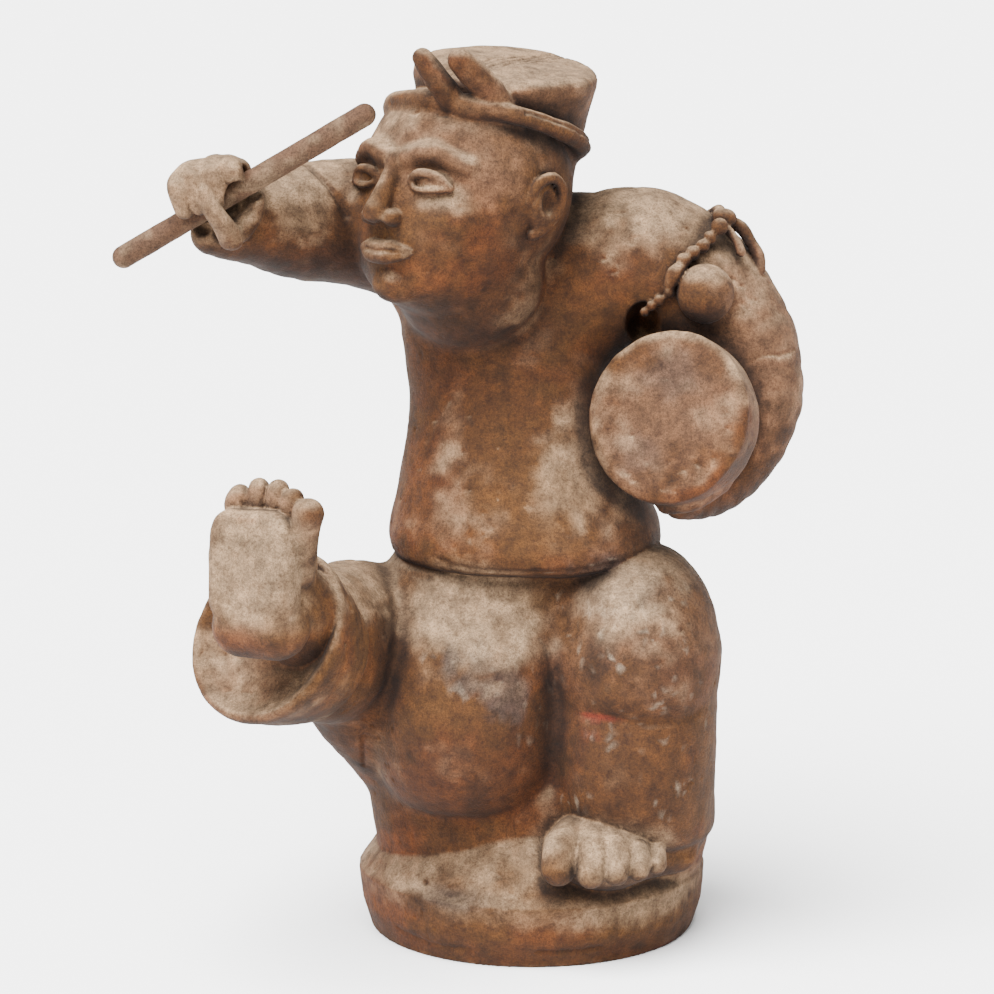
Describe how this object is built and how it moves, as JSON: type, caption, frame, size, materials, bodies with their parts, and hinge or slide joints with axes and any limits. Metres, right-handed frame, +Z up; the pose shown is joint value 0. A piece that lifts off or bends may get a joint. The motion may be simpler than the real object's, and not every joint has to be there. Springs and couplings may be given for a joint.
{
  "type": "pottery storyteller figure",
  "caption": "Seated pottery storyteller on a round base, capped head turned aside, drum held under one arm, drumstick through a raised fist and one bare foot kicked up.",
  "frame": {"origin": "middle of the round base's flat underside, on the floor", "axes": "+Z up, -Y the way the trunk and the lap face, +X to the figure's left, where the drum is"},
  "size_m": [0.4079, 0.3098, 0.5471],
  "materials": {
    "fired_clay": "matte unglazed earthenware, orange brown with grime",
    "fired_clay_pale": "matte unglazed earthenware, a paler brown"
  },
  "bodies": {
    "root": {"storyteller_figure": "fired_clay", "drumstick": "fired_clay_pale"}
  },
  "joints": []
}
